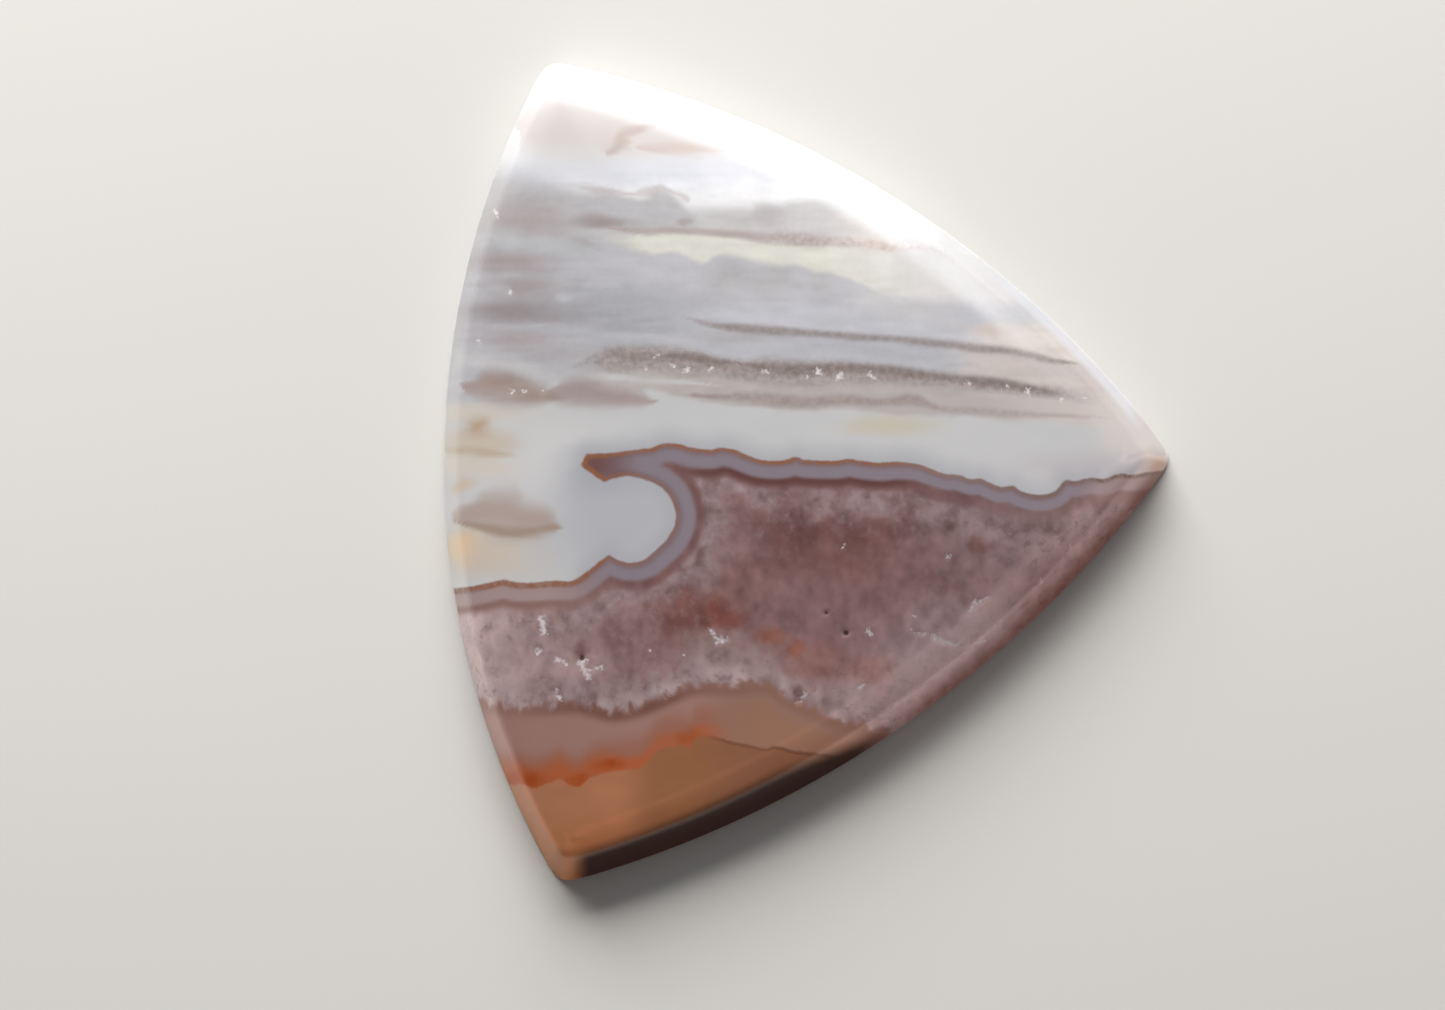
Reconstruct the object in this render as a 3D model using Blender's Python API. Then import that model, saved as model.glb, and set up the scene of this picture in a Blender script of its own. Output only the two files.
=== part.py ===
"""A banded agate cabochon: one slab of stone, cut to a triangle with three curved sides.

It has a flat base, a ground wall that flares out towards the base, a bevelled shoulder
and a low polished dome. Metres, +Z up. The origin is the middle of the base, +X points to
the blunter tip and +Y along the longest extent, from one pointed corner to the other.
"""

import math

import bmesh
import bpy

NAME = "agate_cabochon"

# Heights above the table, and widths seen from above
THICKNESS = 0.0044
WALL_TOP = 0.0020
WALL_FLARE = 0.00095
SHOULDER_RISE = 0.00050
SHOULDER_WIDTH = 0.00080
BASE_CHAMFER = 0.00012

# The outline is the overlap of three large discs, one to each side. Their middles are
# measured from the crown, the highest point of the dome.
UPPER_SIDE = (-0.02040, -0.03005, 0.05159)
LEFT_SIDE = (0.02664, 0.00054, 0.04179)
LOWER_SIDE = (-0.02294, 0.03155, 0.05435)
SIDES = (UPPER_SIDE, LEFT_SIDE, LOWER_SIDE)

# How sharp the three corners are: at the rim, and near the crown, where the dome is round
RIM_SHARPNESS = 55.0
CROWN_SHARPNESS = 3.0
CORNER_FADE = 5.0

# The power by which the dome falls away from the crown to the shoulder
DOME_FULLNESS = 2.3

# Faces round each side of the outline, and rings up the dome
SIDE_STEPS = 40
DOME_RINGS = 11

STONE_COLOUR = (0.58, 0.50, 0.49, 1.0)
STONE_ROUGHNESS = 0.12
STONE_IOR = 1.54


def disc_reach(side, angle, inset):
    """Distance from the crown to one disc's rim, along a direction, with the disc made smaller by inset."""
    x, y, radius = side
    along = x * math.cos(angle) + y * math.sin(angle)
    return along + math.sqrt(along**2 - x**2 - y**2 + (radius - inset) ** 2)


def outline_reach(angle, inset, sharpness):
    """Distance from the crown to the outline: the nearest of the three discs, with soft corners."""
    total = sum(disc_reach(side, angle, inset) ** -sharpness for side in SIDES)
    return total ** (-1 / sharpness)


def corner_angles():
    """Directions from the crown to the three corners, found where neighbouring discs reach equally far."""
    fine = [math.tau * i / 7200 for i in range(7200)]
    nearest = [min(range(3), key=lambda k: disc_reach(SIDES[k], angle, 0)) for angle in fine]
    return [fine[i] for i in range(len(fine)) if nearest[i] != nearest[i - 1]]


def outline_angles():
    """Directions to the points of a ring: closer together at the corners than along the sides."""
    corners = corner_angles()
    angles = []
    for i, start in enumerate(corners):
        span = (corners[(i + 1) % 3] - start) % math.tau
        for step in range(SIDE_STEPS):
            even = step / SIDE_STEPS
            crowded = (1 - math.cos(math.pi * even)) / 2
            angles.append(start + span * (even + crowded) / 2)
    return angles


def ring_sizes():
    """The rings from the base up to the crown, as (inset, share of the way out, sharpness, height)."""
    shoulder_inset = WALL_FLARE + SHOULDER_WIDTH
    shoulder_top = WALL_TOP + SHOULDER_RISE
    rings = [
        (BASE_CHAMFER, 1.0, RIM_SHARPNESS, 0.0),
        (0.0, 1.0, RIM_SHARPNESS, BASE_CHAMFER),
        (WALL_FLARE, 1.0, RIM_SHARPNESS, WALL_TOP),
        (shoulder_inset, 1.0, RIM_SHARPNESS, shoulder_top),
    ]
    for i in range(1, DOME_RINGS):
        share = 1 - i / DOME_RINGS
        sharpness = CROWN_SHARPNESS + (RIM_SHARPNESS - CROWN_SHARPNESS) * share**CORNER_FADE
        rise = (THICKNESS - shoulder_top) * (1 - share**DOME_FULLNESS)
        rings.append((shoulder_inset, share, sharpness, shoulder_top + rise))
    return rings


def crown_position(angles):
    """Where the crown stands when the origin is the middle of the outline's box."""
    rim = [outline_reach(angle, 0, RIM_SHARPNESS) for angle in angles]
    xs = [reach * math.cos(angle) for reach, angle in zip(rim, angles)]
    ys = [reach * math.sin(angle) for reach, angle in zip(rim, angles)]
    return -(min(xs) + max(xs)) / 2, -(min(ys) + max(ys)) / 2


def stone_mesh():
    """The rings lofted into one closed body, with a flat base and a point at the crown."""
    angles = outline_angles()
    crown_x, crown_y = crown_position(angles)
    bm = bmesh.new()
    rings = []
    for inset, share, sharpness, height in ring_sizes():
        ring = []
        for angle in angles:
            reach = share * outline_reach(angle, inset, sharpness)
            x = crown_x + reach * math.cos(angle)
            y = crown_y + reach * math.sin(angle)
            ring.append(bm.verts.new((x, y, height)))
        rings.append(ring)
    crown = bm.verts.new((crown_x, crown_y, THICKNESS))

    bm.faces.new(reversed(rings[0]))
    count = len(angles)
    for low, high in zip(rings, rings[1:]):
        for i in range(count):
            j = (i + 1) % count
            bm.faces.new((low[i], low[j], high[j], high[i]))
    for i in range(count):
        bm.faces.new((rings[-1][i], rings[-1][(i + 1) % count], crown))

    mesh = bpy.data.meshes.new(NAME)
    bm.to_mesh(mesh)
    bm.free()
    mesh.shade_smooth()
    mesh.set_sharp_from_angle(angle=math.radians(18))
    return mesh


def stone_material():
    material = bpy.data.materials.new("polished_agate")
    material.use_nodes = True
    shader = material.node_tree.nodes["Principled BSDF"]
    shader.inputs["Base Color"].default_value = STONE_COLOUR
    shader.inputs["Roughness"].default_value = STONE_ROUGHNESS
    shader.inputs["IOR"].default_value = STONE_IOR
    shader.inputs["Metallic"].default_value = 0.0
    return material


def main():
    for thing in list(bpy.data.objects):
        bpy.data.objects.remove(thing)
    collection = bpy.data.collections.new(NAME)
    bpy.context.scene.collection.children.link(collection)
    stone = bpy.data.objects.new(NAME, stone_mesh())
    stone.data.materials.append(stone_material())
    collection.objects.link(stone)


main()
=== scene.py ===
"""The looks of a banded agate cabochon: a fine mesh, its banding and crystal, table, light and camera."""

import math

import bpy
import numpy as np
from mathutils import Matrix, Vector


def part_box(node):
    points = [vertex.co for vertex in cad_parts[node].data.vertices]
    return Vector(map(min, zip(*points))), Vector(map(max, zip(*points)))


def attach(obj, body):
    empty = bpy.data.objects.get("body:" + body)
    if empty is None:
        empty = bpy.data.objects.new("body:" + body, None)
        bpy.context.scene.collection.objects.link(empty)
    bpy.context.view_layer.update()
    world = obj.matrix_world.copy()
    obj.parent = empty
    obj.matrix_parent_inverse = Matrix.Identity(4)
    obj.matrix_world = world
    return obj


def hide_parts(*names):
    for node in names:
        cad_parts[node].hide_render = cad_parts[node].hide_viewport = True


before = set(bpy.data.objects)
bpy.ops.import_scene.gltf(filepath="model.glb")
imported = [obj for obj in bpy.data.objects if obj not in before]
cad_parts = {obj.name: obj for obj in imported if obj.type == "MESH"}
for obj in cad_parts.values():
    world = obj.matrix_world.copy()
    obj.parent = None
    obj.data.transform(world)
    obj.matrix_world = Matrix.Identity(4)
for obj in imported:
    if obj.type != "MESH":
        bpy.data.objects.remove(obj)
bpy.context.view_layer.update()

NODE = "agate_cabochon"
MM = 0.001

# The photograph's frame and the camera that took it
PHOTO_WIDTH = 1445
PHOTO_HEIGHT = 1010
SENSOR_WIDTH_MM = 36.0
LENS_MM = 141.4
CAMERA_DISTANCE = 283.8 * MM
CAMERA_TILT = math.radians(8.0)
CAMERA_SIDE = math.radians(-39.3)
CAMERA_NEAR = 0.01
VIEW_MIDDLE = Vector((-4.065 * MM, -1.819 * MM, 0.0))

# The stone's driving sizes, as the model has them
WALL_TOP = 2.0 * MM
WALL_FLARE = 0.95 * MM
SHOULDER_RISE = 0.5 * MM
SHOULDER_WIDTH = 0.8 * MM
BASE_CHAMFER = 0.12 * MM
RIM_SHARPNESS = 55.0
CROWN_SHARPNESS = 3.0
CORNER_FADE = 5.0
DOME_FULLNESS = 2.3

# The outline is the overlap of three discs: where their middles stand from the crown, and their radii
UPPER_SIDE = (-20.40 * MM, -30.05 * MM, 51.59 * MM)
LEFT_SIDE = (26.64 * MM, 0.54 * MM, 41.79 * MM)
LOWER_SIDE = (-22.94 * MM, 31.55 * MM, 54.35 * MM)
SIDES = (UPPER_SIDE, LEFT_SIDE, LOWER_SIDE)

SHOULDER_INSET = WALL_FLARE + SHOULDER_WIDTH
SHOULDER_TOP = WALL_TOP + SHOULDER_RISE
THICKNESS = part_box(NODE)[1].z

# Rings up the dome and across the base, the spacing down the wall, and how the wall's upper edge is rounded
DOME_RINGS = 138
BASE_RINGS = DOME_RINGS // 2
WALL_STEP = 0.16 * MM
EDGE_ROUNDING = 0.38 * MM
EDGE_POINTS = 8

# Steps in the search for the corners, and in the ring that finds the crown
SEARCH_STEPS = 7200
RING_STEPS = 40

# The crease where the dome meets the shoulder is polished round: how far to each side, and how deep
CREASE_WIDTH = 0.65 * MM
CREASE_DROP = 0.06 * MM

# Depth of the open pits and of the tiny crystal faces that catch the light
PIT_DEPTH = 0.10 * MM
FACET_DEPTH = 0.035 * MM
FACET_SEED = 5

# Faces that meet at more than this angle have a sharp edge
SHARP_ANGLE = math.radians(30)

# The polish: refraction, roughness where smooth and where grainy, and how deep it dips between grains
STONE_IOR = 1.54
SMOOTH_ROUGHNESS = 0.10
GRAINY_ROUGHNESS = 0.24
GRAIN_RELIEF = 0.012 * MM

# Light inside the stone: how much of it wanders, how far, and each colour's share of that
SCATTER_WEIGHT = 0.25
SCATTER_DEPTH = 1.5 * MM
SCATTER_SHARES = (1.0, 0.8, 0.75)

# How far over the dome's edge the painted light along the shoulder fades out
SHOULDER_FADE = 0.9 * MM

# The even sheen that the painted colours leave out, and the least and the most that they may be
SHEEN = 0.017
DARKEST = 0.005
BRIGHTEST = 0.92

# Where the window stands, and a spot's share of light, next to a level spot's: what a slope towards the
# window gains, what an upright face gets from the table, and the least and the most that count. Light that
# wanders inside the stone evens this out, so the painted colours make up for it.
WINDOW_AZIMUTH = 100
WINDOW_ELEVATION = 25
SLOPE_GAIN = 1.7
TABLE_SHARE = 0.4
LEAST_SHARE = 0.42
GLARE_SHARE = 1.25


def direction(azimuth, elevation):
    a, e = math.radians(azimuth), math.radians(elevation)
    return Vector((math.cos(a) * math.cos(e), math.sin(a) * math.cos(e), math.sin(e)))


def rgb(red, green, blue):
    """A colour given by its 0 to 255 screen values, as linear light."""
    shares = np.array([red, green, blue]) / 255
    return np.where(shares <= 0.04045, shares / 12.92, ((shares + 0.055) / 1.055) ** 2.4)


# The agate's colours
SNOW = rgb(240, 240, 243)
ICE = rgb(229, 231, 240)
BLUE_MILK = rgb(173, 174, 181)
PEARL = rgb(187, 187, 193)
MIST = rgb(206, 204, 206)
MAUVE_GREY = rgb(176, 163, 163)
BEIGE = rgb(204, 195, 193)
UMBER = rgb(158, 147, 144)
DARK_UMBER = rgb(137, 125, 122)
IVORY = rgb(213, 204, 193)
TIP_BROWN = rgb(156, 131, 119)
LAVENDER = rgb(140, 130, 139)
PINK_LAVENDER = rgb(167, 146, 145)
WINE = rgb(107, 77, 75)
LIGHT_WINE = rgb(143, 113, 107)
MAUVE = rgb(126, 99, 99)
FROST = rgb(158, 141, 142)
CHESTNUT = rgb(120, 87, 79)
CLAY = rgb(158, 124, 117)
PEACH = rgb(147, 116, 104)
ORANGE = rgb(171, 97, 66)
EMBER = rgb(157, 77, 42)
TAN = rgb(171, 119, 91)
DEEP_TAN = rgb(165, 112, 79)
BARK = rgb(138, 99, 78)
WALL_FOOT_SHADE = rgb(97, 67, 58)
SHADED_WALL = rgb(60, 32, 23)
GREY_MILK = rgb(194, 192, 195)
TIP_PINK = rgb(212, 205, 203)
ONE_BROWN = rgb(178, 164, 161)
ONE_PALE = rgb(212, 196, 189)
TWO_GREY = rgb(148, 137, 135)
THREE_PALE = rgb(170, 162, 160)
FOUR_GREY = rgb(164, 151, 148)
HEM_GREY = rgb(143, 124, 126)
BAND_RIM = rgb(125, 104, 105)
BAND_TIP = rgb(153, 135, 134)
INLET_WINE = rgb(118, 89, 88)
LOW_TAN = rgb(152, 114, 95)
MIDDLE_TAN = rgb(147, 103, 75)
EMBER_HALO = rgb(151, 104, 86)
EMBER_END = rgb(156, 88, 58)
SEAM_BROWN = rgb(122, 70, 50)
FIERY_LINE = rgb(146, 95, 64)
PALE_LINE = rgb(148, 122, 112)
FROSTING = rgb(176, 160, 162)
GLOOM = rgb(96, 66, 64)
GLINT_WHITE = rgb(222, 216, 220)
PIT_BROWN = rgb(80, 66, 60)

# Lines of the pattern, in the photograph's pixels. The white agate's lower edge comes first: from the
# left side to a cusp, round a bulb to a notch, up to the point of an inlet, and on to the right-hand tip.
EDGE_LEFT = (
    (380, 592), (440, 590), (468, 588), (489, 584), (503, 581), (522, 584), (554, 582), (571, 582),
    (583, 576), (597, 565), (609, 556),
)
EDGE_BULB = (
    (609, 556), (618, 561), (630, 564), (644, 561), (656, 551), (669, 538), (676, 523), (676, 510),
    (669, 494), (654, 482), (628, 475), (612, 478), (604, 481),
)
EDGE_INLET = ((604, 481), (582, 465), (587, 455))
EDGE_RIGHT = (
    (587, 455), (613, 454), (636, 451), (652, 449), (662, 445), (678, 445), (692, 449), (711, 451),
    (720, 449), (734, 451), (757, 460), (774, 462), (787, 461), (796, 458), (805, 461), (835, 462),
    (849, 460), (861, 462), (880, 464), (897, 463), (917, 465), (931, 470), (945, 475), (959, 476),
    (970, 480), (981, 480), (992, 485), (1001, 488), (1012, 487), (1021, 492), (1035, 496), (1049, 495),
    (1058, 490), (1065, 482), (1077, 482), (1091, 479), (1105, 480), (1119, 475), (1133, 476),
    (1160, 472), (1240, 466),
)

# The point of the inlet, as (across, down, half width)
INLET = ((570, 467, 12), (592, 465, 16), (606, 465, 16), (625, 464, 14), (652, 462, 0))

# Where the crystal ends below, and where the orange band ends
CRYSTAL_FLOOR = (
    (400, 684), (455, 690), (491, 703), (532, 706), (573, 703), (589, 706), (614, 711), (647, 704),
    (675, 692), (698, 684), (736, 684), (767, 683), (782, 695), (800, 704), (822, 714), (856, 722),
    (900, 740),
)
EMBER_LINE = (
    (430, 783), (500, 785), (520, 784), (532, 788), (545, 785), (560, 779), (570, 785), (580, 786),
    (590, 778), (604, 773), (620, 771), (640, 768), (652, 757), (660, 749), (680, 745), (690, 748),
    (697, 738), (712, 737), (721, 740), (737, 744), (752, 747), (766, 750), (773, 748), (790, 751),
    (808, 754), (840, 757), (900, 762),
)

# Borders between the zones of the white and grey agate, from the top down
GREY_TOP = (
    (430, 158), (513, 168), (543, 175), (573, 186), (599, 188), (622, 193), (641, 195), (659, 188),
    (676, 196), (687, 204), (700, 213), (715, 211), (745, 208), (757, 201), (791, 200), (816, 195),
    (835, 196), (868, 210), (898, 228), (940, 250), (1000, 266), (1100, 290),
)
CREAM_TOP = (
    (600, 231), (640, 235), (715, 236), (753, 241), (807, 243), (849, 246), (898, 250), (950, 255),
    (1100, 270),
)
CREAM_FOOT = (
    (590, 243), (611, 245), (648, 251), (676, 253), (703, 262), (722, 254), (742, 257), (763, 264),
    (791, 264), (830, 272), (858, 284), (890, 298), (930, 305), (960, 314), (1000, 327), (1040, 337),
    (1100, 350), (1180, 364),
)
MILK_TOP = (
    (430, 406), (480, 404), (560, 405), (600, 404), (640, 401), (653, 391), (677, 396), (707, 403),
    (743, 407), (791, 410), (849, 410), (890, 415), (930, 416), (967, 417), (1022, 420), (1080, 424),
    (1130, 428), (1180, 432),
)
LILAC_TOP = ((600, 292), (1200, 292))
PINK_TOP = ((600, 318), (1200, 318))

# The brown-grey lines, from the top down, as (across, down, half width)
LINE_ONE = (
    (608, 228, 1), (638, 231, 3), (676, 232, 4), (715, 232, 4), (753, 236, 5), (782, 237, 6),
    (807, 239, 6), (849, 242, 4), (877, 244, 4), (898, 247, 3), (930, 250, 2), (950, 252, 0),
)
LINE_TWO = (
    (665, 314, 0), (690, 319, 1), (715, 325, 3), (753, 329, 4), (810, 333, 3), (849, 336, 3),
    (898, 339, 3), (952, 345, 3.5), (979, 348, 3.5), (1005, 350, 3), (1024, 353, 3), (1042, 358, 3),
    (1057, 361, 2), (1084, 364, 0),
)
LINE_THREE = (
    (564, 368, 0), (593, 361, 5), (610, 358, 10), (649, 358, 11), (686, 361, 11), (705, 364, 9),
    (734, 369, 8), (772, 371, 11), (810, 373, 10), (849, 372, 9), (898, 375, 7), (952, 380, 6),
    (994, 385, 6), (1032, 390, 5), (1070, 394, 5), (1090, 398, 4), (1115, 402, 0),
)
LINE_THREE_DARK = (
    (655, 355, 0), (690, 357, 4), (707, 360, 4), (734, 363, 1), (757, 366, 3), (800, 369, 5),
    (850, 368, 4), (898, 371, 4), (950, 378, 3), (1000, 383, 4), (1040, 390, 2), (1060, 393, 0),
)
LINE_FOUR = (
    (690, 396, 0), (743, 397, 5), (791, 402, 6), (849, 401, 5), (885, 401, 2), (905, 399, 4),
    (920, 401, 4), (935, 407, 2), (967, 410, 3), (1022, 413, 2), (1051, 416, 2), (1120, 420, 0),
)

# Least softness of a streak's edge
LEAST_FRINGE = 0.6

# Washes below a line: colour, strength, line, from and to how far below it they come in, how much noise
# feathers them, and from and to where across they come in
EVERYWHERE = (0, 1)
UPPER_WASHES = (
    (MIST, 1, GREY_TOP, (-4, 9), 3.0, (684, 715)),
    (rgb(232, 226, 222), 0.8, GREY_TOP, (-2, 8), 0, (810, 890)),
    (rgb(221, 220, 212), 1, CREAM_TOP, (-2, 3), 0, (606, 650)),
    (rgb(223, 220, 220), 1, CREAM_TOP, (-2, 3), 0, (820, 930)),
    (rgb(195, 194, 200), 1, CREAM_FOOT, (-3, 4), 3.0, EVERYWHERE),
    (MIST, 1, CREAM_FOOT, (-3, 6), 3.0, (840, 900)),
    (rgb(197, 197, 204), 1, LILAC_TOP, (0, 20), 0, (640, 760)),
    (rgb(221, 212, 208), 1, PINK_TOP, (0, 12), 0, (960, 1010)),
)
LOWER_WASHES = (
    (BEIGE, 1, LINE_TWO, (-2, 5), 0, (930, 1000)),
    (rgb(185, 179, 178), 1, LINE_THREE, (2, 8), 0, (560, 640)),
    (BEIGE, 1, LINE_THREE, (2, 8), 0, (950, 1080)),
    (rgb(199, 199, 201), 1, MILK_TOP, (-3, 3), 1.2, EVERYWHERE),
)

# Soft streaks in the white and grey agate: colour, strength, and (across, down, half width) points
STREAKS = (
    (rgb(225, 218, 216), 0.9,
     ((515, 128, 16), (560, 126, 26), (600, 126, 26), (640, 134, 20), (680, 142, 12), (725, 149, 6),
      (748, 152, 0))),
    (rgb(203, 184, 177), 0.65, ((600, 154, 1), (612, 149, 4), (628, 139, 6), (645, 131, 3), (664, 127, 0))),
    (rgb(219, 203, 198), 0.8,
     ((636, 147, 0), (660, 149, 4), (690, 149, 5), (706, 149, 4), (730, 153, 0))),
    (rgb(184, 170, 166), 0.45,
     ((572, 187, 1), (590, 189, 3), (608, 190, 2), (630, 194, 1), (655, 190, 4), (664, 188, 2),
      (686, 200, 2))),
    (rgb(197, 198, 202), 0.8, ((470, 236, 3), (500, 240, 8), (560, 247, 7), (605, 253, 0))),
    (PEARL, 0.6, ((560, 205, 0), (600, 208, 5), (650, 214, 5), (690, 216, 0))),
    (rgb(193, 193, 198), 0.9, ((552, 297, 0), (561, 298, 3), (578, 300, 0))),
    (rgb(195, 192, 194), 0.8, ((490, 288, 0), (504, 291, 4), (516, 294, 0))),
    (rgb(189, 189, 195), 0.85,
     ((495, 327, 0), (530, 329, 3), (600, 334, 4), (660, 339, 4), (720, 344, 0))),
    (rgb(204, 202, 204), 0.85,
     ((455, 358, 4), (480, 361, 5), (520, 367, 6), (553, 377, 5), (600, 376, 3), (660, 381, 3),
      (720, 385, 0))),
    (rgb(171, 153, 145), 0.9,
     ((464, 389, 3), (490, 386, 13), (520, 391, 13), (545, 396, 8), (566, 398, 0))),
    (rgb(167, 152, 150), 0.9,
     ((545, 396, 0), (560, 392, 10), (585, 391, 13), (610, 396, 9), (640, 400, 4), (656, 401, 0))),
    (rgb(190, 172, 150), 0.7, ((448, 451, 3), (480, 452, 3), (505, 453, 2), (518, 453, 0))),
    (rgb(176, 158, 151), 0.9,
     ((452, 520, 0), (475, 517, 9), (490, 513, 18), (511, 513, 20), (525, 519, 15), (543, 520, 12),
      (558, 527, 5), (570, 530, 0))),
    (rgb(162, 142, 128), 0.85,
     ((454, 521, 1), (475, 527, 3), (499, 531, 4), (529, 532, 4), (554, 530, 3), (570, 529, 0))),
)

# Soft patches there: colour, strength, and an oval: across, down, half width and half height
PATCHES = (
    (rgb(213, 205, 203), 0.8, 614, 137, 17, 15),
    (ICE, 0.8, 660, 172, 150, 15),
    (MAUVE_GREY, 0.55, 527, 221, 36, 19),
    (rgb(158, 146, 145), 0.65, 597, 221, 18, 7),
    (rgb(188, 184, 186), 0.6, 732, 213, 42, 9),
    (rgb(160, 150, 150), 0.5, 603, 222, 34, 4),
    (rgb(180, 176, 179), 0.6, 582, 245, 14, 9),
    (MAUVE_GREY, 0.8, 507, 261, 36, 12),
    (rgb(166, 156, 156), 0.7, 528, 288, 32, 9),
    (rgb(159, 150, 151), 0.9, 522, 312, 56, 13),
    (rgb(175, 175, 181), 0.9, 628, 311, 70, 24),
    (MAUVE_GREY, 0.6, 520, 339, 38, 9),
    (rgb(177, 173, 176), 0.6, 560, 355, 60, 10),
    (rgb(154, 136, 126), 0.7, 506, 382, 18, 6),
    (rgb(154, 136, 128), 0.6, 530, 396, 18, 4),
    (rgb(186, 180, 181), 0.6, 771, 218, 16, 9),
    (rgb(172, 158, 156), 0.6, 683, 221, 5, 4),
    (rgb(182, 180, 181), 0.6, 727, 276, 18, 16),
    (rgb(184, 181, 182), 0.6, 776, 279, 20, 14),
    (rgb(190, 187, 188), 0.5, 826, 284, 13, 9),
    (rgb(206, 204, 206), 0.6, 876, 301, 20, 11),
    (rgb(202, 200, 202), 0.7, 916, 311, 34, 9),
    (rgb(196, 193, 195), 0.6, 956, 327, 16, 6),
    (rgb(204, 190, 186), 0.7, 992, 331, 16, 6),
    (rgb(176, 172, 175), 0.7, 740, 337, 42, 7),
    (rgb(212, 211, 212), 0.85, 535, 458, 72, 50),
    (IVORY, 0.8, 478, 414, 42, 9),
    (rgb(204, 190, 172), 0.8, 478, 442, 34, 13),
    (rgb(190, 166, 143), 0.9, 479, 427, 11, 9),
    (IVORY, 0.8, 470, 465, 38, 12),
    (rgb(206, 186, 166), 0.8, 460, 487, 10, 8),
    (rgb(206, 191, 176), 0.8, 482, 553, 52, 22),
    (rgb(224, 196, 162), 0.8, 460, 545, 15, 15),
    (rgb(180, 180, 187), 0.9, 622, 520, 72, 52),
    (rgb(160, 161, 172), 0.5, 590, 474, 32, 24),
    (rgb(197, 189, 164), 0.65, 892, 427, 42, 9),
    (rgb(186, 180, 185), 0.6, 1090, 466, 60, 14),
)

# Soft patches in the crystal, given in the same way
CRYSTAL_PATCHES = (
    (rgb(190, 168, 167), 0.95, 476, 650, 52, 80),
    (rgb(157, 135, 135), 0.85, 562, 645, 74, 50),
    (rgb(131, 105, 105), 0.7, 630, 638, 48, 28),
    (rgb(118, 82, 78), 0.8, 694, 610, 42, 34),
    (rgb(126, 98, 97), 0.9, 770, 572, 60, 36),
    (rgb(115, 86, 84), 0.9, 832, 550, 94, 26),
    (rgb(120, 90, 88), 0.8, 890, 566, 52, 26),
    (rgb(148, 127, 128), 0.6, 722, 534, 20, 30),
    (rgb(143, 121, 122), 0.7, 708, 578, 14, 22),
    (rgb(125, 99, 100), 0.8, 828, 606, 70, 30),
    (rgb(127, 103, 104), 0.7, 944, 576, 62, 40),
    (rgb(136, 115, 117), 0.8, 1014, 540, 76, 42),
    (rgb(138, 116, 115), 0.8, 1086, 512, 72, 34),
    (rgb(143, 125, 128), 0.9, 962, 652, 90, 46),
    (rgb(147, 128, 129), 0.9, 884, 692, 66, 34),
    (rgb(135, 110, 108), 0.8, 762, 676, 60, 26),
    (rgb(142, 122, 121), 0.8, 720, 660, 42, 32),
    (rgb(133, 111, 109), 0.7, 640, 690, 64, 18),
    (WINE, 0.7, 790, 526, 52, 14),
    (rgb(108, 79, 77), 0.7, 866, 530, 44, 14),
    (rgb(127, 102, 102), 0.7, 744, 540, 24, 22),
    (rgb(123, 73, 63), 0.6, 712, 614, 14, 16),
    (rgb(128, 84, 76), 0.8, 733, 622, 14, 11),
    (rgb(136, 92, 78), 0.8, 768, 635, 13, 8),
    (rgb(138, 79, 54), 0.6, 793, 646, 9, 9),
    (rgb(132, 97, 92), 0.65, 812, 660, 26, 16),
    (rgb(137, 105, 102), 0.8, 866, 669, 28, 15),
    (WINE, 0.8, 948, 527, 8, 7),
    (rgb(114, 84, 80), 0.7, 979, 547, 8, 8),
    (rgb(114, 86, 84), 0.7, 989, 522, 6, 5),
    (rgb(112, 84, 83), 0.7, 581, 650, 10, 8),
    (rgb(112, 84, 84), 0.7, 614, 634, 9, 16),
    (rgb(108, 76, 74), 0.7, 686, 620, 24, 9),
    (rgb(118, 90, 88), 0.6, 672, 678, 11, 10),
)

# Single ovals, given in the same way
BULB = (640, 522, 45, 50)
TIP_SPOT = (1156, 466, 15, 12)
CHESTNUT_SPOT = (640, 706, 95, 22)
EMBER_SPOTS = ((526, 779, 22, 8), (577, 779, 12, 6), (610, 765, 16, 6))
EMBER_END_SPOT = (688, 737, 12, 10)
BULB_SIDE = (680, 520, 50, 60)
BULB_CLEAR = (690, 534, 50, 48)
CALM_CRYSTAL = (830, 590, 90, 55)

# Dimmer places in the white agate: strength, and an oval
DIM_SPOTS = ((0.11, 525, 290, 85, 120), (0.09, 600, 160, 90, 30))
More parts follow.
